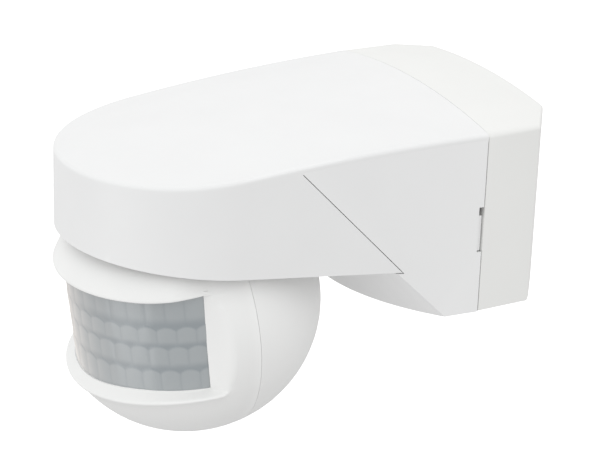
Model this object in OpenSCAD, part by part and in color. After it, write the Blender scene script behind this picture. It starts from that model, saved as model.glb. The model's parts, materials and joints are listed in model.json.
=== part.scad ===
// Wall motion sensor: a wall base, an arm that plugs on to it, a lift-off cover and a ball head.
// Frame: +Z up, the wall is the plane y = 0 and the front looks along -Y.
// Origin: the middle of the two wall slots, on the wall face.

/* [Arm] */
// Width of the base and of the arm where they meet
body_w = 71; // [68:0.5:74]
// Distance from the wall to the seam between base and arm
seam_d = 21; // [19:0.5:23]
// Distance from the wall to the centre of the arm's round front
front_d = 80.5; // [79:0.5:82]
// Half width of the round front
front_rx = 32; // [31.5:0.1:33]
// Length of the round front
front_ry = 33; // [32.5:0.1:35]
// Height of the top's side edge above the origin, at the seam
edge_z = 21; // [20:0.5:22]
// Height of the top's crown above its side edges
crown_h = 3.3; // [2.5:0.1:4]
// Radius of the top's lengthwise arch
arch_r = 602; // [500:1:800]
// Depth of the flat underside below the origin
base_z = 24; // [24:0.5:25]
// Wall thickness of the mouldings
wall = 2.2; // [1.8:0.1:2.4]
// Angle of the seam between cover and arm, from horizontal
seam_angle = 46.2; // [45:0.1:47]
// How far the gusset's front face bulges
gusset_bulge = 10.5; // [8:0.5:12]
// Height of the cover's lower edge, at the arm's round front centre
skirt_z = -6.9; // [-8:0.1:-6]
// Rise of the cover's lower edge towards the front, in degrees
skirt_angle = 5.8; // [4:0.1:7]

/* [Ball head] */
// Distance from the wall to the ball's centre
ball_d = 82; // [81.5:0.5:82.5]
// Radius of the ball
ball_r = 32.4; // [32:0.1:32.6]
// Forward tilt of the head at rest
head_tilt = 6; // [4:0.5:7]
// Radius of the lens's outer face at its top
lens_top_r = 28.3; // [27.5:0.1:28.5]
// Radius of the lens's outer face at its foot
lens_foot_r = 27.6; // [27:0.1:28]
// Height of the lens opening's upper edge above the ball's centre
visor_z = 13.6; // [13:0.1:14]
// Depth of the lens opening's lower edge below the ball's centre
lip_z = 13; // [12:0.1:14]
// Radius that the visor's rim reaches from the ball's centre
visor_r = 33.6; // [33:0.1:33.8]

/* [Wall fixing] */
// Distance between the two wall slots
slot_pitch = 38; // [34:1:40]
// Half width of a wall slot
slot_r = 2.3; // [2:0.1:2.6]
// End to end length of a wall slot
slot_len = 8; // [7:0.5:10]
// Radius of the cable hole in the grommet
cable_r = 4.2; // [3.5:0.1:4.5]

/* [Hidden] */
$fn = 96;
big = 200;
half_w = body_w / 2;
gap = 0.3;
roof_t = 1.2;
lap_gap = 0.1;
arc_half = 86.6;
arch_y = -11;
arch_top = edge_z + 0.1;
crown_r = (half_w * half_w + crown_h * crown_h) / (2 * crown_h);
diag_y = -29.6;
gusset_r = (half_w * half_w + gusset_bulge * gusset_bulge) / (2 * gusset_bulge);
socket_r = ball_r + gap;
dome_r = socket_r + 2;
relief_r = visor_r + 1;
ball_wall = 2.2;
tray_z = 1;
tray_t = 2;
tray_rim_z = 7;
partition_y = -seam_d - 5;
partition_t = 2;
rim_inset = wall + gap;
rim_t = 1.5;
rim_len = 3;
board_z = 6;
board_t = 1.6;
board_top = board_z + board_t;
board_screw_x = 24;
board_screw_y = -57;
neck_r = 4.5;
neck_bore = 2.8;
halves_y = 4;
crease_y = -2.6;
shelf_t = 1.5;
lens_t = 0.9;
lens_half_angle = 76.5;
dial_r = 4;
dial_shaft_r = 1.5;
dial_y = -48;
dial_x = 13;
button_pos = [24, -36];
button_r = 1.75;
run_fit = 0.05;
opening_r = 12;
opening_front = -7.5;
opening_back = 28;
screw_r = 1.4;
lead_r = 1.8;
entry_z = -11;
grommet_r = 7;
blank_y = -11.5;
blank_r = 4;
spring_t = 1.2;
nut_t = 1.8;
neck_top = dome_r + spring_t + nut_t;
pole_pitch = 7;
poles = [-2:1:2];
base_corner_x = 26;
base_corner_y = -6.5;
base_side_x = 35;
back_t = 2.5;
latch_x = half_w - 5;
notch_w = 1.2;
notch_h = 11.5;
notch_z = -8.5;
visor_h = 6.5;
visor_foot_r = 31.6;
visor_head_r = 26.6;
board_gap_r = 0.6 * dome_r;

// ---- Shared forms ----

// Plan of the arm: a round front and straight sides that flare to the seam
module arm_plan(inset) {
    rx = front_rx - inset;
    ry = front_ry - inset;
    front = [for (i = [-20:20]) [rx * sin(arc_half * i / 20), -front_d - ry * cos(arc_half * i / 20)]];
    polygon(concat([[-half_w + inset, -seam_d]], front, [[half_w - inset, -seam_d]]));
}

// Plan of the wall base, with cut corners at the wall
module base_plan(inset, y_front, y_back) {
    side = base_side_x - inset;
    corner = base_corner_x - inset * 0.7;
    polygon([
        [half_w - inset, y_front], [side, base_corner_y], [corner, y_back],
        [-corner, y_back], [-side, base_corner_y], [-half_w + inset, y_front]
    ]);
}

// Everything under the crowned and arched top surface, lowered by drop
module under_top(drop) {
    translate([0, arch_y, arch_top - arch_r])
        rotate([0, 90, 0])
        rotate([0, 0, 170])
        rotate_extrude(angle = 26, $fn = 720)
        intersection() {
            translate([arch_r + crown_h - crown_r - drop, 0])
                circle(r = crown_r, $fn = 360);
            translate([arch_r - 90, -half_w - 1])
                square([120, body_w + 2]);
        }
}

// Everything in front of the sloping seam, moved forward by shift
module ahead_of_seam(shift) {
    translate([-big / 2, diag_y - shift / sin(seam_angle), -base_z])
        rotate([90 - seam_angle, 0, 0])
        translate([0, -big, -big])
        cube([big, big, 2 * big]);
}

// Everything below the cover's lower edge
module below_skirt() {
    translate([-big / 2, -front_d, skirt_z])
        rotate([-skirt_angle, 0, 0])
        translate([0, -big / 2, -big])
        cube([big, big, big]);
}

// Long round bar whose front is the gusset's bulging face
module gusset_bar(inset) {
    translate([0, diag_y, -base_z])
        rotate([90 - seam_angle, 0, 0])
        translate([0, gusset_r - gusset_bulge, -big / 2])
        cylinder(r = gusset_r - inset, h = big, $fn = 180);
}

// The arm's rear part as a solid, inset all round
module arm_wedge(inset, drop) {
    intersection() {
        translate([0, 0, -base_z + inset])
            linear_extrude(70)
            arm_plan(inset);
        under_top(drop);
        gusset_bar(inset);
    }
}

// Places its children at the ball's centre
module at_ball() {
    translate([0, -ball_d, -base_z])
        children();
}

// Places its children in the head's own frame, tilted forward as at rest
module in_head() {
    at_ball()
        rotate([head_tilt, 0, 0])
        children();
}

// Spherical layer between two radii, down to the height low_z
module dome_layer(r_out, r_in, low_z) {
    difference() {
        intersection() {
            sphere(r = r_out);
            translate([-r_out, -r_out, low_z])
                cube([2 * r_out, 2 * r_out, r_out]);
        }
        sphere(r = r_in);
    }
}

// Upright slot with round ends, long in y
module y_slot(r, y_front, y_back, z_low, h) {
    for (y = [y_front + r, y_back - r])
        translate([0, y, z_low])
            cylinder(r = r, h = h, $fn = 64);
    translate([-r, y_front + r, z_low])
        cube([2 * r, y_back - y_front - 2 * r, h]);
}

// Upright slot with round ends, long in x
module x_slot(r, half_len, z_low, h) {
    rotate([0, 0, 90])
        y_slot(r, -half_len, half_len, z_low, h);
}

// ---- Wall base ----

module wall_base() {
    color("whitesmoke")
        difference() {
            intersection() {
                translate([0, 0, -base_z])
                    linear_extrude(70)
                    base_plan(0, -seam_d, 0);
                under_top(0);
            }
            intersection() {
                translate([0, 0, -base_z + wall])
                    linear_extrude(70)
                    base_plan(wall, -seam_d - 1, -back_t);
                under_top(wall);
            }
            for (side = [-1, 1])
                translate([side * slot_pitch / 2, 0, 0])
                    rotate([90, 0, 0])
                    x_slot(slot_r, slot_len / 2, -1, back_t + 2);
            translate([0, 1, entry_z])
                rotate([90, 0, 0])
                cylinder(r = grommet_r, h = back_t + 2);
            translate([0, blank_y, -base_z - 1])
                cylinder(r = blank_r, h = wall + 2);
        }
}

module base_gasket() {
    color("dimgray")
        translate([0, -back_t, entry_z])
        rotate([90, 0, 0])
        difference() {
            cylinder(r = 10.2, h = 1);
            translate([0, 0, -1])
                cylinder(r = 8.5, h = 3);
        }
}

module cable_grommet() {
    color("gray")
        translate([0, 0, entry_z])
        rotate([90, 0, 0])
        difference() {
            union() {
                cylinder(r = grommet_r - 0.05, h = back_t);
                translate([0, 0, back_t])
                    cylinder(r = 8.4, h = 2);
            }
            translate([0, 0, -1])
                cylinder(r = cable_r, h = back_t + 5);
        }
}

module entry_blank() {
    color("gray")
        translate([0, blank_y, -base_z]) {
            cylinder(r = blank_r - 0.05, h = wall);
            translate([0, 0, wall])
                cylinder(r = blank_r + 1, h = 1.5);
        }
}

module terminal_block() {
    color("lightgray")
        difference() {
            translate([-18, -14, 3.5])
                cube([36, 14 - back_t, 12]);
            for (i = poles) {
                translate([i * pole_pitch, -8, 10])
                    cylinder(r = screw_r + run_fit, h = 10);
                translate([i * pole_pitch, -6, 2])
                    cylinder(r = 1.8, h = 5);
                translate([i * pole_pitch, -13, 9.5])
                    rotate([90, 0, 0])
                    translate([0, 0, -1])
                    cylinder(r = 1.6, h = 3);
            }
        }
}

module terminal_screws() {
    color("silver")
        for (i = poles)
            translate([i * pole_pitch, -8, 10.2])
                difference() {
                    cylinder(r = screw_r, h = 4.8);
                    translate([-2, -0.25, 4])
                        cube([4, 0.5, 2]);
                }
}

module socket_contacts() {
    color("gold")
        for (i = poles)
            translate([i * pole_pitch, -12.2, 9.5])
                rotate([90, 0, 0])
                difference() {
                    cylinder(r = 1.5, h = 1.6);
                    translate([0, 0, -1])
                        cylinder(r = 1, h = 4);
                }
}

module loop_terminal() {
    color("orange")
        difference() {
            translate([16, -14, -18])
                cube([10, 8, 9]);
            for (z = [-15.5, -11.5])
                translate([21, -10, z])
                    rotate([0, -90, 0])
                    translate([0, 0, -1])
                    cylinder(r = 1.5, h = 7);
        }
}

// ---- Arm ----

module arm_housing() {
    color("white") {
        arm_shell();
        board_bosses();
    }
}

// Posts that carry the main board's screws
module board_bosses() {
    for (side = [-1, 1])
        translate([side * board_screw_x, board_screw_y, -1])
            difference() {
                cylinder(r = 3, h = board_z + 1);
                translate([0, 0, 2.5])
                    cylinder(r = screw_r + run_fit, h = 10);
            }
}

module arm_shell() {
    difference() {
        union() {
            difference() {
                arm_wedge(0, roof_t + lap_gap);
                ahead_and_above_tray();
            }
            tray();
            rim_form(rim_inset, partition_y, -seam_d + rim_len);
        }
        rim_form(rim_inset + rim_t, partition_y + partition_t, 0);
        arm_hollow();
        at_ball()
            sphere(r = socket_r);
        at_ball()
            intersection() {
                sphere(r = relief_r);
                translate([-big / 2, -big / 2, -big])
                    cube([big, big, big + tray_z + base_z]);
            }
        at_ball()
            cylinder(r = neck_r + run_fit, h = 60);
        difference() {
            translate([-big / 2, -seam_d - gap, -big / 2])
                cube([big, big, big]);
            rim_form(rim_inset, partition_y, -seam_d + rim_len);
        }
        plug_window();
        for (side = [-1, 1]) {
            translate([side * latch_x - 4, -seam_d - 8, -9])
                cube([8, 20, 12]);
            translate([side * half_w - 4, -seam_d - gap - notch_w, notch_z])
                cube([8, notch_w + 1, notch_h]);
        }
    }
}

// Space inside the wedge in front of the partition, clear of the ball's socket
module arm_hollow() {
    difference() {
        intersection() {
            arm_wedge(wall, -5);
            translate([-big / 2, -big, -base_z])
                cube([big, big + partition_y, big]);
        }
        at_ball()
            sphere(r = relief_r + 2);
    }
}

// The part of the wedge that the cover's skirt takes: above its lower edge and round the tray
module ahead_and_above_tray() {
    difference() {
        ahead_of_seam(-gap);
        translate([0, 0, -base_z - 1])
            linear_extrude(base_z + 1 + tray_z)
            arm_plan(wall + gap);
        translate([0, 0, -gap])
            below_skirt();
    }
}

// Shallow tray under the cover, with the dome of the ball's socket
module tray() {
    difference() {
        translate([0, 0, tray_z])
            linear_extrude(tray_rim_z - tray_z)
            arm_plan(wall + gap + 0.1);
        translate([0, 0, tray_z + tray_t])
            linear_extrude(20)
            arm_plan(2 * wall + gap);
        translate([-big / 2, -seam_d - 12, -big / 2])
            cube([big, big, big]);
    }
    at_ball()
        dome_layer(dome_r, socket_r - 1, base_z + tray_z);
}

// Box of the base's section from y_front to y_back, inset all round
module rim_form(inset, y_front, y_back) {
    translate([0, y_front, 0])
        intersection() {
            translate([-half_w + inset, 0, -base_z + inset])
                cube([body_w - 2 * inset, y_back - y_front, 80]);
            translate([0, -y_front, 0])
                under_top(inset);
        }
}

// Window in the partition for the plug block
module plug_window() {
    translate([-19, partition_y - 5, 4])
        cube([38, 12, 11]);
}

module seam_seal() {
    color("dimgray")
        for (side = [-1, 1])
            translate([side * 22 - 4, -seam_d + 3, -base_z + wall + gap + 0.2])
                cube([8, 0.8, 1]);
}

// Springy strips that reach into the base, each with a release tab in the arm's side notch
module snap_latches() {
    color("white")
        for (side = [-1, 1])
            mirror([side > 0 ? 0 : 1, 0, 0])
                translate([half_w - 4.1, -seam_d - 7.9, -6]) {
                    cube([1.6, 9.7, 6]);
                    translate([0, 7.9 - gap - notch_w + 0.15, notch_z + 6.3])
                        cube([3.5, notch_w - 0.3, notch_h - 2.6]);
                }
}

module plug_block() {
    color("lightgray")
        translate([-18.5, partition_y - 3, 4.5])
        cube([37, 11.5, 10]);
}

module plug_blades() {
    color("gold")
        for (i = poles)
            translate([i * pole_pitch, partition_y + 8.5, 9.5])
                rotate([-90, 0, 0])
                cylinder(r = 0.9, h = 5);
}

module main_board() {
    color("darkgreen")
        difference() {
            translate([-28, -62, board_z])
                cube([56, 62 + partition_y - 3.5, board_t]);
            at_ball()
                cylinder(r = board_gap_r, h = 60);
            for (side = [-1, 1])
                translate([side * board_screw_x, board_screw_y, 0])
                    cylinder(r = screw_r + run_fit, h = 20);
        }
}

module board_screws() {
    color("silver")
        for (side = [-1, 1])
            translate([side * board_screw_x, board_screw_y, board_top]) {
                cylinder(r = 2.6, h = 1.6);
                translate([0, 0, -4.5])
                    cylinder(r = screw_r, h = 4.6);
            }
}

module relay() {
    color("royalblue")
        translate([-26, -44, board_z - 15.7])
        cube([20, 10, 15.7]);
}

module film_capacitor() {
    color("gold")
        translate([6, -44, board_z - 12])
        cube([18, 8.5, 12]);
}

module bulk_capacitor() {
    color("black")
        translate([0, -39, board_z - 14])
        cylinder(r = 5, h = 14);
}

module fuse() {
    color("saddlebrown")
        translate([12, -32.5, board_z - 8])
        cylinder(r = 3, h = 8);
}

module dial_trimmers() {
    color("ivory")
        for (i = [-1:1])
            translate([i * dial_x, dial_y, board_top])
                difference() {
                    translate([-4.5, -4.5, 0])
                        cube([9, 9, 3.6]);
                    translate([0, 0, 0.6])
                        cylinder(r = dial_shaft_r + run_fit, h = 10);
                }
}

module switch_body() {
    color("black")
        translate([button_pos[0], button_pos[1], board_top])
        difference() {
            translate([-3, -3, 0])
                cube([6, 6, 3.5]);
            translate([0, 0, 1.5])
                cylinder(r = button_r + run_fit, h = 10);
        }
}

// ---- Ball joint ----

module neck_tube() {
    color("gainsboro")
        at_ball()
        difference() {
            union() {
                translate([0, 0, 23])
                    cylinder(r = neck_r, h = neck_top - 23);
                translate([0, 0, 23])
                    cylinder(r = 8, h = 1.5);
            }
            translate([0, 0, 22])
                cylinder(r = neck_bore, h = 20);
        }
}

module wave_spring() {
    color("silver")
        at_ball()
        translate([0, 0, dome_r])
        difference() {
            cylinder(r = 7.5, h = spring_t);
            translate([0, 0, -1])
                cylinder(r = neck_r + run_fit, h = 4);
        }
}

module neck_nut() {
    color("gainsboro")
        at_ball()
        translate([0, 0, dome_r + spring_t])
        difference() {
            cylinder(r = 7, h = nut_t, $fn = 6);
            translate([0, 0, -1])
                cylinder(r = neck_r + run_fit, h = 5);
        }
}

module ball_seal() {
    color("dimgray")
        at_ball()
        intersection() {
            difference() {
                sphere(r = socket_r + 0.9);
                sphere(r = socket_r + 0.02);
            }
            translate([0, 0, base_z + tray_z - 1.1])
                cylinder(r = 40, h = 1);
        }
}

module neck_lead() {
    color("gray")
        at_ball() {
            translate([0, 0, 3.5])
                cylinder(r = lead_r, h = neck_top + 0.3 + lead_r - 3.5);
            translate([0, 0, neck_top + 0.3 + lead_r])
                rotate([-90, 0, 0])
                cylinder(r = lead_r, h = 20);
        }
}

// ---- Cover ----

module top_cover() {
    color("white")
        difference() {
            intersection() {
                translate([0, 0, -base_z])
                    linear_extrude(80)
                    arm_plan(0);
                under_top(0);
                translate([-big / 2, -big - seam_d - gap, -big])
                    cube([big, big, 2 * big]);
            }
            intersection() {
                translate([0, 0, -base_z - 1])
                    linear_extrude(80)
                    arm_plan(wall);
                under_top(roof_t);
            }
            difference() {
                under_top(roof_t);
                ahead_of_seam(0);
            }
            below_skirt();
        }
}

module cover_seal() {
    color("dimgray")
        difference() {
            translate([0, 0, tray_rim_z + gap])
                linear_extrude(1)
                arm_plan(wall + 0.05);
            translate([0, 0, tray_rim_z])
                linear_extrude(3)
                arm_plan(wall + 1.6);
            translate([-big / 2, -60, -big / 2])
                cube([big, big, big]);
        }
}

// ---- Controls under the cover ----

module dial(x) {
    translate([x, dial_y, board_top]) {
        translate([0, 0, 0.8])
            cylinder(r = dial_shaft_r, h = 3.2);
        difference() {
            translate([0, 0, 3.9])
                cylinder(r = dial_r, h = 3.4);
            translate([-dial_r - 1, -0.6, 6.1])
                cube([dial_r + 2.5, 1.2, 2]);
        }
    }
}

module time_dial() {
    color("gold")
        dial(-dial_x);
}

module lux_dial() {
    color("gold")
        dial(0);
}

module range_dial() {
    color("gold")
        dial(dial_x);
}

module test_button() {
    color("crimson")
        translate([button_pos[0], button_pos[1], board_top + 2.1])
        cylinder(r = button_r, h = 2.9);
}

// ---- Head ----

module clamp_dish() {
    color("gainsboro")
        at_ball()
        difference() {
            dome_layer(27.7, 26, 22.8);
            cylinder(r = neck_r + run_fit, h = 60);
        }
}

module slot_slider() {
    color("silver")
        at_ball()
        difference() {
            dome_layer(29.5, 28, 17);
            x_slot(5, 10.5, 0, 60);
        }
}

// Cuts away the head behind the seam between its halves
module halves_cut(side) {
    translate([-big / 2, side > 0 ? halves_y : halves_y - big, -big / 2])
        cube([big, big, big]);
}

// Opening in the top of the ball that the neck passes through
module neck_opening() {
    y_slot(opening_r, opening_front, opening_back, 5, 40);
}

// Space of the lens opening in front of the cheeks
module lens_space() {
    translate([-big / 2, crease_y - big, -lip_z])
        cube([big, big, lip_z + visor_z]);
}

module head_front_shell() {
    color("white")
        in_head()
        difference() {
            union() {
                sphere(r = ball_r);
                intersection() {
                    sphere(r = visor_r);
                    translate([0, 0, visor_z])
                        cylinder(r1 = visor_foot_r, r2 = visor_head_r, h = visor_h);
                    translate([-big / 2, -big - 3.3, 0])
                        cube([big, big, big]);
                }
            }
            sphere(r = ball_r - ball_wall);
            halves_cut(1);
            neck_opening();
            lens_space();
        }
}

module head_rear_shell() {
    color("white")
        in_head()
        difference() {
            union() {
                rotate([-90, 0, 0])
                    dome_layer(ball_r, ball_r - ball_wall, halves_y);
                for (side = [-1, 1])
                    translate([side * 21, halves_y, -8])
                        rotate([-90, 0, 0])
                        cylinder(r = 3, h = 18);
            }
            neck_opening();
            for (side = [-1, 1])
                translate([side * 21, halves_y - 1, -8])
                    rotate([-90, 0, 0])
                    cylinder(r = screw_r + run_fit, h = 10);
        }
}

// Lens wall between two cones, cut to its arc
module lens() {
    color([0.78, 0.78, 0.77])
        in_head()
        intersection() {
            difference() {
                translate([0, 0, -lip_z])
                    cylinder(r1 = lens_foot_r, r2 = lens_top_r, h = lip_z + visor_z);
                translate([0, 0, -lip_z - 0.01])
                    cylinder(r1 = lens_foot_r - lens_t, r2 = lens_top_r - lens_t, h = lip_z + visor_z + 0.02);
            }
            translate([-big / 2, -big - lens_top_r * cos(lens_half_angle), -big / 2])
                cube([big, big, big]);
        }
}

// Frame around the lens: a shelf above, a ledge below and two slanted cheeks
module lens_frame() {
    color("white")
        in_head() {
            difference() {
                intersection() {
                    sphere(r = ball_r - ball_wall);
                    union() {
                        translate([0, 0, visor_z])
                            cylinder(r = 29, h = shelf_t);
                        translate([0, 0, -lip_z - shelf_t])
                            cylinder(r = 29, h = shelf_t);
                    }
                    translate([-big / 2, -big + crease_y, -big / 2])
                        cube([big, big, big]);
                }
                translate([0, 0, -20])
                    cylinder(r = 25.5, h = 40);
            }
            intersection() {
                sphere(r = ball_r - 0.1);
                for (side = [-1, 1])
                    mirror([side > 0 ? 0 : 1, 0, 0])
                        translate([0, 0, -lip_z])
                        linear_extrude(lip_z + visor_z)
                        polygon([[25.6, -6.4], [32.6, crease_y - 0.2], [32.6, crease_y + 0.1], [25.6, -4.9]]);
            }
        }
}

module sensor_board() {
    color("darkgreen")
        in_head()
        translate([-14, -6, -12])
        cube([28, 1.2, 22]);
}

module sensor_can() {
    color("silver")
        in_head()
        translate([0, -6, -1])
        rotate([90, 0, 0])
        cylinder(r = 4.6, h = 4.5);
}

module sensor_window() {
    color("black")
        in_head()
        translate([-2, -10.9, -2.5])
        cube([4, 0.4, 3]);
}

module status_led() {
    color("red")
        in_head()
        translate([9, -6, -8])
        rotate([90, 0, 0])
        cylinder(r = 1.5, h = 4);
}

module head_screws() {
    color("silver")
        in_head()
        for (side = [-1, 1])
            translate([side * 21, halves_y, -8])
                rotate([-90, 0, 0])
                cylinder(r = screw_r, h = 8);
}

module head_lead() {
    color("gray")
        in_head()
        translate([0, -4.7, 0])
        rotate([-90, 0, 0])
        cylinder(r = lead_r, h = 4.2);
}

wall_base();
base_gasket();
cable_grommet();
entry_blank();
terminal_block();
terminal_screws();
socket_contacts();
loop_terminal();
arm_housing();
seam_seal();
snap_latches();
plug_block();
plug_blades();
main_board();
board_screws();
relay();
film_capacitor();
bulk_capacitor();
fuse();
dial_trimmers();
switch_body();
neck_tube();
wave_spring();
neck_nut();
ball_seal();
neck_lead();
top_cover();
cover_seal();
time_dial();
lux_dial();
range_dial();
test_button();
clamp_dish();
slot_slider();
head_front_shell();
head_rear_shell();
lens();
lens_frame();
sensor_board();
sensor_can();
sensor_window();
status_led();
head_screws();
head_lead();
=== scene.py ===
import json
import math

import bmesh
import bpy
from mathutils import Matrix, Vector


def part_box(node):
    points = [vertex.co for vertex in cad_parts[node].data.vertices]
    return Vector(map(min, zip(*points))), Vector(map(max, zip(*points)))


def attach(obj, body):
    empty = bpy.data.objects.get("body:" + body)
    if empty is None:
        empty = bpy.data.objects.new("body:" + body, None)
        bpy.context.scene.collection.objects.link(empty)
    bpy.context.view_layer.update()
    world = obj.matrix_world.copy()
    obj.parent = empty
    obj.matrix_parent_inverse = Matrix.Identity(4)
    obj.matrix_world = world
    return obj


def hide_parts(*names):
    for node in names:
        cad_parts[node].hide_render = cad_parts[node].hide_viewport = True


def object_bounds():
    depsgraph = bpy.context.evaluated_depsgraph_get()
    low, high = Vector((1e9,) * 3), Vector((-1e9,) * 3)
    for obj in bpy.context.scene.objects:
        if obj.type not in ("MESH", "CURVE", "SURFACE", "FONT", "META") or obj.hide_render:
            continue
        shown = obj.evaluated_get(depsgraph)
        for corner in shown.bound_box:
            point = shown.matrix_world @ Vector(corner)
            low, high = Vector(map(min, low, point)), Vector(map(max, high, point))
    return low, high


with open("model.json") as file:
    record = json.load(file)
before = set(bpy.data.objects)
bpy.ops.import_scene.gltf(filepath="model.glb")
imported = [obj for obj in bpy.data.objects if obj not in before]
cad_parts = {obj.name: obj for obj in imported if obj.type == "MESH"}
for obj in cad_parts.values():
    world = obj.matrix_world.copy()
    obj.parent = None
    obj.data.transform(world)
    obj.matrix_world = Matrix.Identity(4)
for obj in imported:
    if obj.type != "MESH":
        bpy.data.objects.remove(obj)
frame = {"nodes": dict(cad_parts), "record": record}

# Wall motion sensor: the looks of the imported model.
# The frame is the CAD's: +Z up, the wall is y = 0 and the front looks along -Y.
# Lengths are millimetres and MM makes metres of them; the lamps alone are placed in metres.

CAD_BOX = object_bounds()
MM = 0.001
IMAGE_WIDTH = 599
NEAR = 0.01


def corners(node):
    """Lowest and highest corner of a CAD node, in millimetres."""
    low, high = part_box(node)
    return low / MM, high / MM


# ---- Sizes ----

BASE_LOW, BASE_HIGH = corners("wall_base")
COVER_LOW, COVER_HIGH = corners("top_cover")
NECK_LOW, NECK_HIGH = corners("neck_tube")

# Plan of the arm: straight flared sides and a round front
HALF_W = BASE_HIGH.x
SEAM_Y = BASE_LOW.y
FLOOR_Z = BASE_LOW.z
FRONT_RX = 32.0
FRONT_RY = 33.0
FRONT_CY = COVER_LOW.y + FRONT_RY
ARC_HALF = math.radians(86.6)
ARC_X = FRONT_RX * math.sin(ARC_HALF)
ARC_Y = FRONT_CY - FRONT_RY * math.cos(ARC_HALF)

# Crowned and arched top
CROWN_H = 3.3
CROWN_R = (HALF_W ** 2 + CROWN_H ** 2) / (2 * CROWN_H)
ARCH_R = 602.0
ARCH_Y = -11.0
ARCH_TOP = BASE_HIGH.z - CROWN_H
TOP_FILLET = 1.0

# How far the skins reach into the CAD's gaps, so that the seams look thin
REAR_CLOSING = 0.14
SEAM_CLOSING = 0.2
BASE_CLOSING = 0.06

# Sloping seam between cover and arm, and the cover's edges
SEAM_SLOPE = math.tan(math.radians(46.2))
SEAM_FOOT_Y = -29.6
COVER_REAR = COVER_HIGH.y + REAR_CLOSING
SKIRT_Z = -6.9
SKIRT_SLOPE = math.tan(math.radians(5.8))
SIDE_LAP = 1.3
LAP_FOLD = ((0.0, 0.0), (0.04, 0.05), (0.06, 0.5))
COVER_WALL = 1.8

# Wall base
CORNER_Y = -6.5
CORNER_X = 35.0
BACK_X = 26.0
BASE_WALL = 2.0
BASE_ROUND = 1.7

# Ball head, about the ball's centre and tilted as at rest
BALL_R = 32.65
BALL_HEIGHT = 31.9
BALL_CENTRE = Vector(((NECK_LOW.x + NECK_HIGH.x) / 2, (NECK_LOW.y + NECK_HIGH.y) / 2, FLOOR_Z))
HEAD = Matrix.Translation(BALL_CENTRE) @ Matrix.Rotation(math.radians(6.0), 4, "X")
HALVES_Y = 4.0
HALVES_GAP = 0.05
HEAD_WALL = 1.0
SHOULDER_Z = 20.0
CHIN_DROP = 1.6
NECK_SLOT_R = 12.0
NECK_SLOT = (-7.5, 28.0)
NECK_SLOT_Z = (5, 40)
BOSS_X, BOSS_Z, BOSS_R = 21, -8, 3
BOSS_Y = (4.2, 17)

# Visor and lower lip: heights of their edges, how far they rise to the sides, and their shapes
VISOR_SWELL = 0.05
SWELL_TOP_Z, SWELL_FOOT_Z, SWELL_FADE = 24, 12, 5.5
VISOR_Z, VISOR_RISE = 13.5, 0.8
VISOR_ROLL = 2.4
VISOR_RADII = (1.4, 0.25)
SHELF_DROP, SHELF_RISE = 0.3, 0.6
LIP_Z, LIP_RISE = -13.9, 2.9
LIP_PROUD = 1.0
LIP_RADII = (0.25, 0.8)
LEDGE_Z, LEDGE_RISE = -11.7, 1.3
RIM_FADE = 1.5
RIM_STRIP = 1

# Lens and its opening
LENS_HALF = math.radians(75.3)
LENS_R = 27.9
CHEEK_IN = Vector((27.1, -7.3))
CHEEK_OUT = Vector((32.0, -2.6))
LENS_TOP_R = 28.3
LENS_FOOT_R = 27.6
LENS_WALL = 0.8
LENS_RELIEF = 0.13
LENS_GRID = (380, 108)
LENS_COLUMNS = 16
ROW_EDGES = (14.6, 5.9, 0.9, -5.2, -12.6)


# ---- Mesh helpers ----

def add_mesh(name, points, faces, place=Matrix.Identity(4)):
    """New mesh object from millimetre points."""
    mesh = bpy.data.meshes.new(name)
    mesh.from_pydata([(place @ Vector(p)) * MM for p in points], [], faces)
    mesh.update()
    obj = bpy.data.objects.new(name, mesh)
    bpy.context.scene.collection.objects.link(obj)
    return obj


def grid_faces(rows, columns, start=0):
    """Quads of a grid whose points are stored column after column."""
    faces = []
    for c in range(columns - 1):
        here = start + c * rows
        there = here + rows
        faces += [(here + r, there + r, there + r + 1, here + r + 1) for r in range(rows - 1)]
    return faces


def weld(obj, distance=0.002):
    """Merges points that meet and turns all faces the same way out."""
    mesh = bmesh.new()
    mesh.from_mesh(obj.data)
    bmesh.ops.remove_doubles(mesh, verts=mesh.verts, dist=distance * MM)
    bmesh.ops.recalc_face_normals(mesh, faces=mesh.faces)
    mesh.to_mesh(obj.data)
    mesh.free()


def face_up(obj, probe):
    """Flips a surface unless its face nearest to probe looks away from the object's middle."""
    target = Vector(probe) * MM
    middle = sum((v.co for v in obj.data.vertices), Vector()) / len(obj.data.vertices)
    nearest = min(obj.data.polygons, key=lambda f: (f.center - target).length)
    if nearest.normal.dot(nearest.center - middle) < 0:
        obj.data.flip_normals()


def bake(obj):
    """Turns an object's modifiers into its mesh."""
    depsgraph = bpy.context.evaluated_depsgraph_get()
    mesh = bpy.data.meshes.new_from_object(obj.evaluated_get(depsgraph))
    obj.modifiers.clear()
    obj.data = mesh


def join_flat(obj, angle=0.1):
    """Makes one face of the neighbouring faces that lie in one plane."""
    mesh = bmesh.new()
    mesh.from_mesh(obj.data)
    limit = math.radians(angle)
    bmesh.ops.dissolve_limit(mesh, angle_limit=limit, verts=mesh.verts, edges=mesh.edges)
    mesh.to_mesh(obj.data)
    mesh.free()


def thicken(obj, wall, even=True):
    """Gives a surface a wall on its inner side, as thick in its corners if even."""
    solid = obj.modifiers.new("wall", "SOLIDIFY")
    solid.thickness = wall * MM
    solid.offset = -1
    solid.use_even_offset = even
    solid.use_quality_normals = True
    bake(obj)


def cut(obj, *cutters, solver="EXACT"):
    """Takes each cutter's space out of an object and removes the cutters."""
    for cutter in cutters:
        tool = obj.modifiers.new("cut", "BOOLEAN")
        tool.operation = "DIFFERENCE"
        tool.solver = solver
        tool.object = cutter
        bake(obj)
        bpy.data.objects.remove(cutter)


def join(obj, others):
    """Adds the meshes of other objects to an object and removes them."""
    mesh = bmesh.new()
    mesh.from_mesh(obj.data)
    for other in others:
        mesh.from_mesh(other.data)
        bpy.data.objects.remove(other)
    mesh.to_mesh(obj.data)
    mesh.free()


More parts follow.
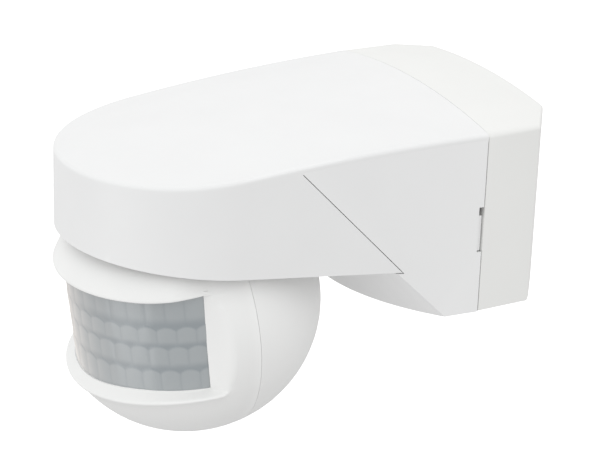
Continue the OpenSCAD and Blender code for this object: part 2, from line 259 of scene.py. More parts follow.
def soften(obj, width, angle=40):
    """Rounds sharp edges by a width, if it isn't 0, and shades the faces between them evenly."""
    if width:
        bevel = obj.modifiers.new("edges", "BEVEL")
        bevel.width = width * MM
        bevel.segments = 2
        bevel.limit_method = "ANGLE"
        bevel.angle_limit = math.radians(angle)
    shade(obj, angle)
    even = obj.modifiers.new("even_shading", "WEIGHTED_NORMAL")
    even.keep_sharp = True


def shade(obj, angle=40):
    """Smooth shading that breaks at edges sharper than angle."""
    obj.data.shade_smooth()
    obj.data.set_sharp_from_angle(angle=math.radians(angle))


def smoothstep(value):
    """Eases from 0 to 1."""
    t = max(0.0, min(1.0, value))
    return t * t * (3 - 2 * t)


def eased(angle, start, span):
    """Eases from 0 to 1 over a span of degrees from start on."""
    return smoothstep((math.degrees(angle) - start) / span)


def steps(first, last, count):
    """count + 1 even values from first to last."""
    return [first + (last - first) * i / count for i in range(count + 1)]


def rounded(path, radii, arc_points=7):
    """Replaces each inner corner of a 2D path by a curve of about its radius."""
    out = [path[0]]
    for before, corner, after, radius in zip(path, path[1:], path[2:], radii):
        a = Vector(before) - Vector(corner)
        b = Vector(after) - Vector(corner)
        if min(a.length, b.length) < 1e-6:
            out += [tuple(corner)] * arc_points
            continue
        half = a.angle(b) / 2
        room = 0.48 * min(a.length, b.length)
        reach = min(radius / max(math.tan(half), 1e-6), room)
        start = Vector(corner) + a.normalized() * reach
        end = Vector(corner) + b.normalized() * reach
        for t in steps(0, 1, arc_points - 1):
            curve = (1 - t) ** 2 * start + 2 * t * (1 - t) * Vector(corner) + t ** 2 * end
            out.append(tuple(curve))
    out.append(path[-1])
    return out


# ---- Surfaces the arm's parts share ----

def top_z(x, y):
    """Height of the crowned and arched top."""
    reach = ARCH_R + CROWN_H - CROWN_R + math.sqrt(CROWN_R ** 2 - x * x)
    return ARCH_TOP - ARCH_R + math.sqrt(reach ** 2 - (y - ARCH_Y) ** 2)


def seam_z(y):
    """Height of the sloping seam on the side."""
    return FLOOR_Z + (SEAM_FOOT_Y - y) * SEAM_SLOPE + SEAM_CLOSING


def skirt_z(y):
    """Height of the cover's lower edge."""
    return SKIRT_Z + (FRONT_CY - y) * SKIRT_SLOPE


def side_x(y):
    """Half width of the arm on its straight stretch."""
    return HALF_W + (ARC_X - HALF_W) * (y - SEAM_Y) / (ARC_Y - SEAM_Y)


def lap_z(x, y):
    """Lower edge of the cover's rolled side where the arm's wall takes over."""
    return top_z(x, y) - SIDE_LAP


def meeting(curve_a, curve_b, low, high, halvings=40):
    """Where two curves cross between low and high."""
    sign = curve_a(low) - curve_b(low)
    for _ in range(halvings):
        middle = (low + high) / 2
        if (curve_a(middle) - curve_b(middle)) * sign > 0:
            low = middle
        else:
            high = middle
    return (low + high) / 2


# Ends of the seam on the side: at the roof's lap and at the cover's lower edge
SEAM_TOP_Y = meeting(seam_z, lambda y: lap_z(side_x(y), y), -50.0, -80.0)
SEAM_END_Y = meeting(seam_z, skirt_z, -30.0, -60.0)


class Station:
    """A place on the plan's outline, with its outward normal and its point on the middle line."""

    def __init__(self, x, y, normal, axis_y):
        self.x = x
        self.y = y
        self.normal = Vector(normal).normalized()
        self.axis_y = axis_y

    def inset(self, depth):
        """Point at a depth inside the outline."""
        return self.x - self.normal.x * depth, self.y - self.normal.y * depth

    def mirrored(self):
        """The same place on the other side."""
        return Station(-self.x, self.y, (-self.normal.x, self.normal.y), self.axis_y)


def outline_stations(rear_y, extra=()):
    """Stations from the right rear, round the front, to the left rear."""
    side_spans, arc_spans, axis_share = 22, 36, 0.45
    normal = (SEAM_Y - ARC_Y, ARC_X - HALF_W)
    ys = sorted(set(steps(rear_y, ARC_Y, side_spans)[:-1] + list(extra)), reverse=True)
    right = [Station(side_x(y), y, normal, y) for y in ys]
    for angle in reversed(steps(0, ARC_HALF, arc_spans)):
        x = FRONT_RX * math.sin(angle)
        y = FRONT_CY - FRONT_RY * math.cos(angle)
        out = (FRONT_RY * math.sin(angle), -FRONT_RX * math.cos(angle))
        right.append(Station(x, y, out, FRONT_CY - axis_share * FRONT_RY * math.cos(angle)))
    return right + [s.mirrored() for s in reversed(right[:-1])]


def fillet_points(station, arc=6):
    """The rounded top edge at a station, from the top surface down to the wall."""
    probe = 0.5
    near = top_z(*station.inset(TOP_FILLET))
    nearer = top_z(*station.inset(TOP_FILLET - probe))
    start = math.atan((near - nearer) / probe)
    depth = TOP_FILLET * (1 - math.sin(start))
    centre_z = top_z(*station.inset(depth)) - TOP_FILLET * math.cos(start)
    points = []
    for angle in steps(start, math.pi / 2, arc):
        x, y = station.inset(TOP_FILLET * (1 - math.sin(angle)))
        points.append((x, y, centre_z + TOP_FILLET * math.cos(angle)))
    return points


def roof_column(station, spans=14):
    """Points from the middle line over the top surface and its rounded edge to the lap."""
    edge = fillet_points(station)
    column = []
    for share in steps(0, 1, spans)[:-1]:
        x = edge[0][0] * share
        y = station.axis_y + (edge[0][1] - station.axis_y) * share
        column.append((x, y, top_z(x, y)))
    return column + edge + [(station.x, station.y, lap_z(station.x, station.y))]


# ---- Cover ----

def lap_fold(stations, start):
    """Narrow fold under the roof's rolled sides, whose first point will have the number start."""
    points = []
    for s in stations:
        low = lap_z(s.x, s.y)
        points += [(*s.inset(inset), low - drop) for inset, drop in LAP_FOLD]
    rows, half = len(LAP_FOLD), len(stations) // 2
    return points, grid_faces(rows, half, start) + grid_faces(rows, half, start + rows * half)


def skirt(stations, start, spans=8):
    """Upright wall round the front, whose first point will have the number start."""
    points = []
    for s in stations:
        top = lap_z(s.x, s.y) if s.y <= SEAM_TOP_Y + 1e-6 else seam_z(s.y)
        points += [(s.x, s.y, z) for z in steps(top, skirt_z(s.y), spans)]
    return points, grid_faces(spans + 1, len(stations), start)


def cover_skin():
    """Roof with a rounded edge, and the skirt that ends at the sloping seam."""
    stations = outline_stations(COVER_REAR, (SEAM_TOP_Y, SEAM_END_Y))
    columns = [roof_column(s) for s in stations]
    points = [p for column in columns for p in column]
    faces = grid_faces(len(columns[0]), len(columns))
    for strip, places in (
        (lap_fold, [s for s in stations if s.y >= SEAM_TOP_Y - 1e-6]),
        (skirt, [s for s in stations if s.y <= SEAM_END_Y + 1e-6]),
    ):
        more_points, more_faces = strip(places, len(points))
        points += more_points
        faces += more_faces
    skin = add_mesh("cover_skin", points, faces)
    weld(skin)
    face_up(skin, (0, FRONT_CY, COVER_HIGH.z))
    thicken(skin, COVER_WALL)
    soften(skin, 0.12)
    return skin


# ---- Wall base ----

def base_block(spans=24):
    """Points and faces of the solid base, open towards the arm."""
    rows = [(SEAM_Y - BASE_CLOSING, HALF_W), (CORNER_Y, CORNER_X), (0.0, BACK_X)]
    share = steps(-1, 1, spans)
    points = []
    for y, half in rows:
        points += [(half * f, y, top_z(half * f, y)) for f in share]
    for y, half in rows:
        points += [(half * f, y, FLOOR_Z) for f in share]
    across = spans + 1
    low = len(rows) * across
    faces = []
    for r in range(len(rows) - 1):
        for c in range(spans):
            a = r * across + c
            faces.append((a, a + 1, a + 1 + across, a + across))
            faces.append((low + a, low + a + across, low + a + 1 + across, low + a + 1))
        left = r * across
        right = left + spans
        faces.append((left, left + across, low + left + across, low + left))
        faces.append((right, low + right, low + right + across, right + across))
    back = low - across
    faces += [(back + c, back + c + 1, low + back + c + 1, low + back + c) for c in range(spans)]
    return points, faces


def base_skin():
    """Shell with cut rear corners, rounded edges, wall slots and a cable hole."""
    skin = add_mesh("base_skin", *base_block())
    weigh_edges(skin)
    round_edges = skin.modifiers.new("rounding", "BEVEL")
    round_edges.width = BASE_ROUND * MM
    round_edges.segments = 5
    round_edges.limit_method = "WEIGHT"
    round_edges.use_clamp_overlap = False
    bake(skin)
    weld(skin)
    face_up(skin, (0, SEAM_Y / 2, BASE_HIGH.z))
    thicken(skin, BASE_WALL)
    cut(skin, *base_cutters())
    join_flat(skin)
    soften(skin, 0)
    return skin


def weigh_edges(skin):
    """Weighs each edge of the base by its rounding, as a share of the largest one."""
    radius_top, radius_back, radius_corner, radius_floor = TOP_FILLET, 0.4, 0.45, 0.3
    weights = skin.data.attributes.new("bevel_weight_edge", "FLOAT", "EDGE")
    for edge in skin.data.edges:
        a, b = (skin.data.vertices[i].co / MM for i in edge.vertices)
        outer = all(abs(abs(p.x) - edge_half(p.y)) < NEAR or p.y > -NEAR for p in (a, b))
        upright = abs(a.x - b.x) < NEAR and abs(a.y - b.y) < NEAR
        if not outer or (a.y < SEAM_Y + NEAR and b.y < SEAM_Y + NEAR):
            continue
        if upright:
            at_corner = abs(abs(a.x) - edge_half(a.y)) < NEAR
            radius = radius_corner if at_corner else 0.0
        elif a.z > 0:
            radius = radius_back if min(a.y, b.y) > -NEAR else radius_top
        else:
            radius = radius_floor if min(a.y, b.y) < CORNER_Y - NEAR else BASE_ROUND
        weights.data[edge.index].value = radius / BASE_ROUND


def edge_half(y):
    """Half width of the base at one of its three corner lines."""
    if y < CORNER_Y - NEAR:
        return HALF_W
    return CORNER_X if y < -NEAR else BACK_X


def base_cutters():
    """Solids for the wall slots, the cable hole and the blanked hole."""
    slot_x, slot_half, slot_r = 19.0, 4.0, 2.3
    cable_z, cable_r = -11, 7.0
    blank_y, blank_r = -11.5, 4.0
    outside, depth = 1.0, BASE_WALL + 3
    run = slot_half - slot_r
    cutters = []
    for side in (-1, 1):
        centres = [(side * slot_x + end * run, 0, 0) for end in (-1, 1)]
        cutters.append(rod_hull("slot_cutter", centres, slot_r, (0, 1, 0), outside, -depth))
    cutters.append(rod_hull("cable_cutter", [(0, 0, cable_z)], cable_r, (0, 1, 0), outside, -depth))
    blank_place = (0, blank_y, FLOOR_Z)
    cutters.append(rod_hull("blank_cutter", [blank_place], blank_r, (0, 0, 1), -outside, depth))
    return cutters


def rod_hull(name, centres, radius, axis, first, last, sides=48):
    """Closed bar along an axis whose section is the outline round one or two circles."""
    along = Vector(axis)
    frame_x = Vector((1, 0, 0))
    frame_y = along.cross(frame_x)
    first_centre, last_centre = Vector(centres[0]), Vector(centres[-1])
    ring = []
    for i in range(sides):
        angle = 2 * math.pi * (i + 0.5) / sides
        way = frame_x * math.cos(angle) + frame_y * math.sin(angle)
        centre = last_centre if way.dot(last_centre - first_centre) > 0 else first_centre
        ring.append(centre + way * radius)
    points = [p + along * first for p in ring] + [p + along * last for p in ring]
    faces = [(i, (i + 1) % sides, sides + (i + 1) % sides, sides + i) for i in range(sides)]
    faces += [tuple(reversed(range(sides))), tuple(range(sides, 2 * sides))]
    rod = add_mesh(name, points, faces)
    weld(rod)
    return rod


# ---- Head ----

def cheek_r(angle):
    """Distance from the head's axis to the flat cheek beside the lens."""
    run = (CHEEK_OUT - CHEEK_IN).normalized()
    normal = Vector((run.y, -run.x))
    return normal.dot(CHEEK_IN) / (normal.x * math.sin(angle) - normal.y * math.cos(angle))


def recess_r(angle):
    """Distance from the axis to the wall beside the lens, or past the ball behind the cheeks."""
    if angle <= LENS_HALF:
        return LENS_R
    return cheek_r(angle) if angle < math.pi / 2 else BALL_R + 1


def soft_min(a, b, blend=0.35):
    """The smaller of two values, with a rounded change between them."""
    gap = max(blend - abs(a - b), 0) / blend
    return min(a, b) - gap * gap * blend / 4


def ball_section(z):
    """Distance from the axis to the plain, slightly flat ball at a height."""
    return BALL_R * math.sqrt(max(0.0, 1 - (z / BALL_HEIGHT) ** 2))


def on_ball(angle, z):
    """Distance from the axis to the ball, with the visor's swelling above the lens."""
    at_front = 1 - eased(angle, 60, 21)
    low_down = smoothstep((SWELL_TOP_Z - z) / SWELL_FADE) if z > SWELL_FOOT_Z else 0.0
    return ball_section(z) * (1 + VISOR_SWELL * at_front * low_down)


def visor_edge_z(angle):
    """Height of the visor's lower edge."""
    return VISOR_Z + VISOR_RISE * eased(angle, 45, 42)


def lip_edge_z(angle):
    """Height of the lower lip's outer edge."""
    return LIP_Z + LIP_RISE * eased(angle, 0, 88)


def ledge_z(angle):
    """Height of the ledge below the lens."""
    return LEDGE_Z + LEDGE_RISE * eased(angle, 0, 45)


def crown_and_chin(angle, visor_foot_z, lip_z):
    """Points above and below the face: the crown, the visor down to a height, and the chin."""
    crown_end = math.acos(SHOULDER_Z / BALL_HEIGHT)
    crown_z = [BALL_HEIGHT * math.cos(t) for t in steps(0, crown_end, 12)]
    crown = [(0.0, BALL_HEIGHT)] + [(on_ball(angle, z), z) for z in crown_z[1:]]
    visor = [(on_ball(angle, z), z) for z in steps(SHOULDER_Z, visor_foot_z, 6)[1:]]
    chin_start = math.acos(-(lip_z - CHIN_DROP) / BALL_HEIGHT)
    chin = [(BALL_R * math.sin(t), -BALL_HEIGHT * math.cos(t)) for t in steps(chin_start, 0, 15)]
    return crown, visor, chin


def head_profile(azimuth):
    """Section of the head at an azimuth, from top to foot, and its rows in the lens window."""
    angle = abs(azimuth)
    edge_z, lip_z, foot_z = visor_edge_z(angle), lip_edge_z(angle), ledge_z(angle)
    crown, visor, chin = crown_and_chin(angle, edge_z + VISOR_ROLL, lip_z)
    wall = recess_r(angle)
    edge = (on_ball(angle, edge_z), edge_z)
    shelf_share = smoothstep((edge[0] - wall) / RIM_FADE)
    shelf_z = edge_z - SHELF_DROP + SHELF_RISE * shelf_share
    shelf = soft_min(wall, ball_section(shelf_z))
    foot = soft_min(wall, ball_section(foot_z))
    lip_share = smoothstep((ball_section(foot_z) - wall) / RIM_FADE)
    lip = (ball_section(lip_z) + LIP_PROUD * lip_share, lip_z)
    wall_top, wall_foot = shelf_z - RIM_STRIP, foot_z + RIM_STRIP
    upper = rounded([visor[-1], edge, (shelf, shelf_z), (shelf, wall_top)], VISOR_RADII)
    lower = rounded([(foot, wall_foot), (foot, foot_z), lip, chin[0]], LIP_RADII)
    middle = [(soft_min(wall, ball_section(z)), z) for z in steps(wall_top, wall_foot, 16)[1:-1]]
    closed = eased(angle, 80, 8)
    face = [(r + (ball_section(z) - r) * closed, z) for r, z in upper + middle + lower]
    above = crown + visor[:-1]
    window_start = len(above) + len(upper) - 1
    return above + face + chin[1:], range(window_start, window_start + len(middle) + 2)


def head_azimuths():
    """Azimuths round the head, close together where the cheeks meet the ball."""
    cheek_start, cheek_end = 72, 92
    side = steps(0, cheek_start, 24) + steps(cheek_start, cheek_end, 40)[1:]
    side += steps(cheek_end, 180, 22)[1:]
    return [math.radians(a) for a in side + [-a for a in reversed(side[1:-1])]]


def head_surface(name):
    """Outer surface of the ball head, open at the lens window."""
    points = []
    azimuths = head_azimuths()
    for azimuth in azimuths:
        profile, window_rows = head_profile(azimuth)
        points += [(r * math.sin(azimuth), -r * math.cos(azimuth), z) for r, z in profile]
    rows = len(profile)
    faces = []
    for c, azimuth in enumerate(azimuths):
        there = (c + 1) % len(azimuths)
        in_window = max(abs(azimuth), abs(azimuths[there])) < LENS_HALF
        for r in range(rows - 1):
            if in_window and r in window_rows:
                continue
            faces.append((c * rows + r, there * rows + r, there * rows + r + 1, c * rows + r + 1))
    surface = add_mesh(name, points, faces)
    weld(surface)
    return surface


def keep_side(obj, plane_y, front):
    """Keeps the part of a head surface in front of or behind an upright plane."""
    mesh = bmesh.new()
    mesh.from_mesh(obj.data)
    bmesh.ops.bisect_plane(
        mesh,
        geom=mesh.verts[:] + mesh.edges[:] + mesh.faces[:],
        dist=1e-7,
        plane_co=(0, plane_y * MM, 0),
        plane_no=(0, 1, 0),
        clear_outer=front,
        clear_inner=not front,
    )
    mesh.to_mesh(obj.data)
    mesh.free()


def head_half(name, front):
    """One half of the ball head, with its wall, its part of the neck's opening and any bosses."""
    half = head_surface(name)
    keep_side(half, HALVES_Y - HALVES_GAP if front else HALVES_Y + HALVES_GAP, front)
    face_up(half, (0, -BALL_R if front else BALL_R, 0))
    thicken(half, HEAD_WALL, even=False)
    slot = rod_hull("neck_cutter", slot_centres(), NECK_SLOT_R, (0, 0, 1), *NECK_SLOT_Z, 64)
    cut(half, slot, solver="EXACT" if front else "FAST")
    if not front:
        join(half, screw_bosses())
    half.data.transform(head_place())
    soften(half, 0.1, 50)
    return half


def screw_bosses():
    """Bosses inside the rear half for the two screws that join the halves."""
    centres = [(side * BOSS_X, 0, BOSS_Z) for side in (-1, 1)]
    return [rod_hull("boss", [centre], BOSS_R, (0, 1, 0), *BOSS_Y) for centre in centres]


def slot_centres():
    """Centres of the two round ends of the neck's opening, first the one at the rear."""
    low, high = NECK_SLOT
    return [(0, low + NECK_SLOT_R, 0), (0, high - NECK_SLOT_R, 0)]


def head_place():
    """The head's placing matrix, in metres."""
    place = HEAD.copy()
    place.translation = HEAD.translation * MM
    return place


# ---- Materials ----

class Nodes:
    """Small helper that builds a material's node tree."""

    def __init__(self, name):
        self.material = bpy.data.materials.new(name)
        self.material.use_nodes = True
        self.tree = self.material.node_tree
        self.tree.nodes.clear()
        self.out = self.add("ShaderNodeOutputMaterial")
        self.shader = self.add("ShaderNodeBsdfPrincipled")
        self.link(self.shader, "BSDF", self.out, "Surface")
        self.place = self.add("ShaderNodeTexCoord")

    def add(self, kind, **values):
        node = self.tree.nodes.new(kind)
        for key, value in values.items():
            setattr(node, key, value)
        return node

    def link(self, source, output, target, socket):
        self.tree.links.new(source.outputs[output], target.inputs[socket])

    def set(self, **values):
        for key, value in values.items():
            self.shader.inputs[key.replace("_", " ")].default_value = value

    def noise(self, size, detail=3.0):
        """Noise whose features are about size millimetres."""
        node = self.add("ShaderNodeTexNoise")
        node.inputs["Scale"].default_value = 1 / (size * MM)
        node.inputs["Detail"].default_value = detail
        self.link(self.place, "Object", node, "Vector")
        return node

    def spread(self, source, output, low, high, first=0.3, last=0.7):
        """Maps a value from one range to another."""
        node = self.add("ShaderNodeMapRange")
        node.inputs["From Min"].default_value = first
        node.inputs["From Max"].default_value = last
        node.inputs["To Min"].default_value = low
        node.inputs["To Max"].default_value = high
        self.link(source, output, node, "Value")
        return node

    def blend(self, factor, output, colour_a, colour_b):
        """Colour between two, by a factor."""
        node = self.add("ShaderNodeMix", data_type="RGBA")
        node.inputs["A"].default_value = (*colour_a, 1)
        node.inputs["B"].default_value = (*colour_b, 1)
        self.link(factor, output, node, "Factor")
        return node

    def bump(self, source, output, depth):
        """Bump of depth millimetres on the shader's normal."""
        node = self.add("ShaderNodeBump")
        node.inputs["Strength"].default_value = 1.0
        node.inputs["Distance"].default_value = depth * MM
        self.link(source, output, node, "Height")
        self.link(node, "Normal", self.shader, "Normal")


def colour(red, green, blue):
    """Linear colour from its 0 to 255 display values."""
    return tuple(((v / 255 + 0.055) / 1.055) ** 2.4 for v in (red, green, blue))


def moulded(name, tint, roughness=0.42, grain=0.25, grain_depth=0.004, gloss=0.45):
    """Moulded plastic: an even colour with slight clouding, a painted highlight on convex edges and
    a fine grain.
    """
    cloud_size, cloud_shade = 14, 0.985
    # How much paler the painted edge highlight makes the colour, and over which pointiness
    edge_highlight_gain, edge_highlight_share, edge_highlight_from, edge_highlight_to = 1.06, 0.5, 0.52, 0.62
    smear_size = 3
    n = Nodes(name)
    cloud = n.spread(n.noise(cloud_size), "Fac", 0, 1)
    base = n.blend(cloud, "Result", tuple(c * cloud_shade for c in tint), tint)
    # Painted highlight: convex edges, found by their pointiness, get a paler colour
    corner = n.add("ShaderNodeNewGeometry")
    edge = n.spread(corner, "Pointiness", 0, edge_highlight_share, edge_highlight_from, edge_highlight_to)
    edge_highlight = n.add("ShaderNodeMix", data_type="RGBA")
    edge_highlight.inputs["B"].default_value = (*(min(1, c * edge_highlight_gain) for c in tint), 1)
    n.link(edge, "Result", edge_highlight, "Factor")
    n.link(base, "Result", edge_highlight, "A")
    n.link(edge_highlight, "Result", n.shader, "Base Color")
    fine = n.noise(grain, 4)
    rough = n.spread(n.noise(smear_size), "Fac", roughness - 0.04, roughness + 0.05)
    n.link(rough, "Result", n.shader, "Roughness")
    n.bump(fine, "Fac", grain_depth)
    n.set(IOR=1.5, Specular_IOR_Level=gloss)
    return n.material


def metal(name, tint, roughness=0.3):
    """Drawn metal: streaks along one way and small stains."""
    stain_size, stain_shade = 2.5, 0.8
    streak_size, streak_stretch, streak_depth = 0.12, 0.08, 0.004
    n = Nodes(name)
    stain = n.spread(n.noise(stain_size), "Fac", 0, 1)
    base = n.blend(stain, "Result", tuple(c * stain_shade for c in tint), tint)
    n.link(base, "Result", n.shader, "Base Color")
    stretch = n.add("ShaderNodeMapping")
    stretch.inputs["Scale"].default_value = (1, 1, streak_stretch)
    n.link(n.place, "Object", stretch, "Vector")
    streak = n.noise(streak_size, 2)
    n.link(stretch, "Vector", streak, "Vector")
    n.bump(streak, "Fac", streak_depth)
    rough = n.spread(streak, "Fac", roughness - 0.08, roughness + 0.1)
    n.link(rough, "Result", n.shader, "Roughness")
    n.set(Metallic=1.0)
    return n.material


def laminate(name):
    """Circuit board: green mask over a fine weave, with paler tracks."""
    track_pitch, track_width = 9, 0.05
    weave_size, weave_depth = 0.3, 0.006
    n = Nodes(name)
    tracks = n.add("ShaderNodeTexBrick")
    tracks.inputs["Scale"].default_value = 1 / (track_pitch * MM)
    tracks.inputs["Mortar Size"].default_value = track_width
    n.link(n.place, "Object", tracks, "Vector")
    line = n.spread(tracks, "Fac", 0, 1, 0, 1)
    base = n.blend(line, "Result", colour(24, 92, 58), colour(60, 128, 84))
    n.link(base, "Result", n.shader, "Base Color")
    n.bump(n.noise(weave_size, 2), "Fac", weave_depth)
    n.set(Roughness=0.35)
    return n.material


def lens_plastic(name):
    """Milky lens plastic with a smooth skin, and painted shade that makes it darker between the
    lenslets.
    """
    smear_size, grain, grain_depth = 1.5, 0.15, 0.001
    n = Nodes(name)
    # Painted shade between the lenslets, read from the lens points, darkens the lens colour
    lenslet_painted_shade = n.add("ShaderNodeAttribute", attribute_name="lenslet")
    base = n.blend(lenslet_painted_shade, "Fac", colour(138, 146, 151), colour(160, 166, 169))
    n.link(base, "Result", n.shader, "Base Color")
    rough = n.spread(n.noise(smear_size), "Fac", 0.3, 0.4)
    n.link(rough, "Result", n.shader, "Roughness")
    n.bump(n.noise(grain, 2), "Fac", grain_depth)
    n.set(IOR=1.5, Coat_Weight=1.0, Coat_Roughness=0.2, Coat_IOR=1.6)
    n.set(Sheen_Weight=1.0, Sheen_Roughness=0.5, Sheen_Tint=(1, 0.93, 0.88, 1))
    return n.material


def slot_materials():
    """One material for each of the record's material slots."""
    white = colour(237, 237, 237)
    return {
        "base_plastic": moulded("base_abs", colour(236, 236, 234)),
        "arm_plastic": moulded("arm_abs", white),
        "cover_plastic": moulded("cover_abs", white),
        # Painted light: the head's white is paler than the arm's and the cover's, standing in for
        # more light on the head
        "head_plastic": moulded("head_abs_painted_paler", colour(241, 241, 240), 0.36, 0.2, 0.002),
        "lens_plastic": lens_plastic("lens_polythene"),
        "seal_rubber": moulded("seal_rubber_grey", colour(150, 151, 150), 0.7, 0.15, 0.01, 0.3),
        "terminal_plastic": moulded("terminal_grey", colour(188, 190, 190), 0.5),
        "brass": metal("contact_brass", colour(214, 178, 104)),
        "steel": metal("zinc_steel", colour(196, 198, 202), 0.32),
        "board_laminate": laminate("board_green"),
        "relay_case": moulded("relay_blue", colour(42, 92, 160), 0.35),
        "capacitor_case": moulded("capacitor_yellow", colour(206, 168, 62), 0.4),
        "capacitor_sleeve": moulded("capacitor_black", colour(34, 34, 40), 0.3),
        "fuse_case": moulded("fuse_brown", colour(110, 66, 42), 0.4),
        "trimmer_case": moulded("trimmer_ivory", colour(226, 218, 196), 0.45),
        "switch_case": moulded("switch_black", colour(38, 38, 40), 0.4),
        "dial_plastic": moulded("dial_yellow", colour(232, 186, 60), 0.4),
        "button_plastic": moulded("button_red", colour(190, 44, 40), 0.4),
        "joint_plastic": moulded("joint_acetal", colour(226, 226, 222), 0.35),
        "lead_sheath": moulded("lead_grey", colour(120, 122, 124), 0.5),
        "orange_plastic": moulded("loop_orange", colour(226, 118, 44), 0.45),
        "sensor_glass": moulded("window_dark", colour(30, 26, 30), 0.15, 0.4, 0.0005, 0.6),
        "led_plastic": moulded("led_red", colour(170, 30, 30), 0.2, 0.4, 0.0005, 0.6),
    }


# ---- Lens ----

def place_in_lenslet(azimuth, z):
    """Where a place lies in its lenslet: across from -1 to 1, and down from 0 at its upper edge."""
    scallop, scallop_drop = 1.0, 0.3
    last_row = len(ROW_EDGES) - 2
    pitch = 2 * LENS_HALF / LENS_COLUMNS
    row = max(i for i in range(last_row + 1) if z <= ROW_EDGES[i] + 1e-9)
    for candidate in (row + 1, row):
        if candidate > last_row:
            continue
        shift = 0.5 if candidate % 2 else 0.0
        across = (azimuth + LENS_HALF) / pitch + shift
        u = 2 * (across - math.floor(across)) - 1
        hang = scallop * (1 - u * u) - scallop_drop if candidate else 0.0
        upper = ROW_EDGES[candidate] + hang
        if z <= upper:
            break
    return u, (upper - z) / (upper - ROW_EDGES[candidate + 1])


def lenslet(azimuth, z):
    """Bulge of the lens face at a place, at most 1, and its painted shade, which fades to 0, the
    darkest, at borders.
    """
    u, v = place_in_lenslet(azimuth, z)
    bulge_across, bulge_down, bulge_middle = 0.7, 0.5, 0.7
    # Painted shade: darker at a lenslet's sides, along its upper edge and over its lower part
    side_painted_shade, side_power = 0.45, 8
    upper_fade, lower_start, lower_fade = 0.1, 0.62, 0.3
    side = 1 - side_painted_shade * abs(u) ** side_power
    face = side * smoothstep(v / upper_fade) * (1 - smoothstep((v - lower_start) / lower_fade))
    bulge = (1 - bulge_across * u * u) * (1 - (2 * min(v, 1) - bulge_middle) ** 2 * bulge_down)
    return max(0.0, bulge), max(0.0, min(1.0, face))


def lens_skin():
    """Curved lens wall whose face carries rows of lenslets, each row lapping the next."""
    columns, rows = LENS_GRID
    first_z, last_z = ROW_EDGES[0], ROW_EDGES[-1]
    points, painted_shades = [], []
    for azimuth in steps(-LENS_HALF, LENS_HALF, columns):
        for z in steps(first_z, last_z, rows):
            bulge, painted_shade_value = lenslet(azimuth, z)
            share = (z - last_z) / (first_z - last_z)
            r = LENS_FOOT_R + (LENS_TOP_R - LENS_FOOT_R) * share - LENS_RELIEF * (1 - bulge)
            points.append((r * math.sin(azimuth), -r * math.cos(azimuth), z))
            painted_shades.append(painted_shade_value)
    skin = add_mesh("lens_skin", points, grid_faces(rows + 1, columns + 1), HEAD)
    # The lenslets' painted shade is kept on the points, where the lens material reads it
    values = skin.data.attributes.new("lenslet", "FLOAT", "POINT")
    values.data.foreach_set("value", painted_shades)
    face_up(skin, HEAD @ Vector((0, -LENS_R, 0)))
    skin.data.shade_smooth()
    solid = skin.modifiers.new("wall", "SOLIDIFY")
    solid.thickness = LENS_WALL * MM
    solid.offset = -1
    return skin


# ---- Frame behind the lens ----

def arc_bar(r_in, r_out, low, high, first, last, spans=48):
    """Points and faces of a bar bent round the head's axis, between two azimuths."""
    section = [(r_in, low), (r_out, low), (r_out, high), (r_in, high)]
    points = []
    for azimuth in steps(first, last, spans):
        points += [(r * math.sin(azimuth), -r * math.cos(azimuth), z) for r, z in section]
    faces = []
    for c in range(spans):
        for k in range(4):
            here, there = 4 * c, 4 * c + 4
            faces.append((here + k, there + k, there + (k + 1) % 4, here + (k + 1) % 4))
    end = 4 * spans
    faces += [(0, 1, 2, 3), (end + 3, end + 2, end + 1, end)]
    return points, faces


def lens_frame_skin():
    """Two rails and two posts that hold the lens from behind."""
    reach = LENS_HALF + math.radians(4)
    post = math.radians(5)
    post_spans = 6
    rail_radii, post_radii = (24.9, 27.0), (25.2, 26.2)
    upper_rail, lower_rail, between = (14.9, 16.4), (-14.6, -13.1), (-13.1, 14.9)
    bars = [
        arc_bar(*rail_radii, *upper_rail, -reach, reach),
        arc_bar(*rail_radii, *lower_rail, -reach, reach),
        arc_bar(*post_radii, *between, -reach, -reach + post, post_spans),
        arc_bar(*post_radii, *between, reach - post, reach, post_spans),
    ]
    points, faces = [], []
    for bar_points, bar_faces in bars:
        faces += [tuple(len(points) + i for i in face) for face in bar_faces]
        points += bar_points
    skin = add_mesh("lens_frame_skin", points, faces, HEAD)
    weld(skin)
    soften(skin, 0.2)
    return skin


# ---- Assembly ----

def settle(piece, body, slot, material, *nodes):
    """Gives a piece its body and its material, and hides the CAD nodes it stands for; the slot is
    not used.
    """
    piece.data.materials.clear()
    piece.data.materials.append(material)
    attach(piece, body)
    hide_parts(*nodes)


def dress_nodes(materials):
    """Gives every CAD node its slot's material, and smooth shading that breaks at its edges."""
    slots = {part["node"]: part["material_slot"] for part in frame["record"]["subparts"]}
    for name, obj in frame["nodes"].items():
        obj.data.materials.clear()
        obj.data.materials.append(materials[slots[name]])
        shade(obj, 30)


def build():
    """All the pieces."""
    materials = slot_materials()
    dress_nodes(materials)
    settle(cover_skin(), "cover", "cover_plastic", materials["cover_plastic"], "top_cover")
    settle(base_skin(), "base", "base_plastic", materials["base_plastic"], "wall_base")
    head = materials["head_plastic"]
    settle(head_half("head_front_skin", True), "head", "head_plastic", head, "head_front_shell")
    settle(head_half("head_rear_skin", False), "head", "head_plastic", head, "head_rear_shell")
    settle(lens_frame_skin(), "head", "head_plastic", head, "lens_frame")
    settle(lens_skin(), "head", "lens_plastic", materials["lens_plastic"], "lens")


# ---- Stage ----

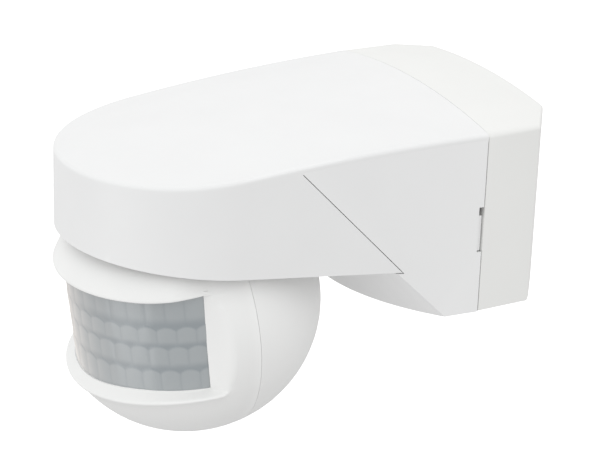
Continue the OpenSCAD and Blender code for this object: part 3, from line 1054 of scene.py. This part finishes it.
def camera():
    """Camera at the viewing angle, with its roll."""
    azimuth, elevation, roll = (math.radians(a) for a in (61.358, 22.115, 1.993))
    distance = 564.553
    target = Vector((0, -51.259, -13.069))
    focal_in_pixels = 2300.27
    right = Vector((math.cos(azimuth), math.sin(azimuth), 0))
    back = Vector((
        math.sin(azimuth) * math.cos(elevation),
        -math.cos(azimuth) * math.cos(elevation),
        math.sin(elevation),
    ))
    up = back.cross(right)
    rolled_right = right * math.cos(roll) + up * math.sin(roll)
    rolled_up = up * math.cos(roll) - right * math.sin(roll)
    data = bpy.data.cameras.new("camera")
    data.sensor_width = 36
    data.lens = data.sensor_width * (focal_in_pixels / IMAGE_WIDTH)
    data.clip_start = 0.01
    data.clip_end = 100
    cam = bpy.data.objects.new("camera", data)
    bpy.context.scene.collection.objects.link(cam)
    place = Matrix((rolled_right, rolled_up, back)).transposed().to_4x4()
    place.translation = (target + back * distance) * MM
    cam.matrix_world = place
    bpy.context.scene.camera = cam


def lamp(name, place, aim, size, power, tint=(1, 1, 1)):
    """Square area lamp aimed at a point, in metres."""
    data = bpy.data.lights.new(name, "AREA")
    data.size = size
    data.energy = power
    data.color = tint
    obj = bpy.data.objects.new(name, data)
    bpy.context.scene.collection.objects.link(obj)
    obj.location = place
    obj.rotation_mode = "QUATERNION"
    obj.rotation_quaternion = (Vector(aim) - Vector(place)).to_track_quat("-Z", "Y")


def grade_surround(tree, below, above):
    """Surround that brightens evenly from straight below to straight above."""
    surround = tree.nodes["Background"]
    surround.inputs["Color"].default_value = (1, 1, 1, 1)
    way = tree.nodes.new("ShaderNodeTexCoord")
    parts = tree.nodes.new("ShaderNodeSeparateXYZ")
    grade = tree.nodes.new("ShaderNodeMapRange")
    grade.inputs["From Min"].default_value = -1
    grade.inputs["From Max"].default_value = 1
    grade.inputs["To Min"].default_value = below
    grade.inputs["To Max"].default_value = above
    tree.links.new(way.outputs["Generated"], parts.inputs["Vector"])
    tree.links.new(parts.outputs["Z"], grade.inputs["Value"])
    tree.links.new(grade.outputs["Result"], surround.inputs["Strength"])


def add_floor():
    """Pale floor far below the part, which neither lights it nor throws a shadow."""
    half, drop = 6000, 600
    tones, tone_size, glow = (0.9, 0.93), 400, 0.4
    low = CAD_BOX[0].z / MM - drop
    corner_points = [(x * half, y * half, low) for x, y in ((-1, -1), (1, -1), (1, 1), (-1, 1))]
    floor = add_mesh("floor", corner_points, [(0, 1, 2, 3)])
    n = Nodes("floor_white")
    cloud = n.spread(n.noise(tone_size), "Fac", 0, 1)
    tone = n.blend(cloud, "Result", (tones[0],) * 3, (tones[1],) * 3)
    n.link(tone, "Result", n.shader, "Base Color")
    n.set(Roughness=0.9, Emission_Strength=glow, Emission_Color=(1, 1, 1, 1))
    floor.data.materials.append(n.material)
    floor.visible_diffuse = False
    floor.visible_glossy = False
    floor.visible_shadow = False


def stage():
    """Pale floor below the part, a pale surround and soft lamps."""
    world = bpy.data.worlds.new("studio")
    world.use_nodes = True
    grade_surround(world.node_tree, 0.54, 1.14)
    bpy.context.scene.world = world
    add_floor()
    middle = (0, -0.05, -0.02)
    lamp("key", (0.7, -0.8, 1.3), middle, 1.2, 1.55, (0.86, 1, 1))
    lamp("front", (0.2, -1.3, -0.5), middle, 0.9, 2.0)
    lamp("left", (-1.4, -0.5, -0.1), middle, 1.0, 0.6)
    bpy.context.scene.view_settings.view_transform = "Standard"


camera()
stage()
build()
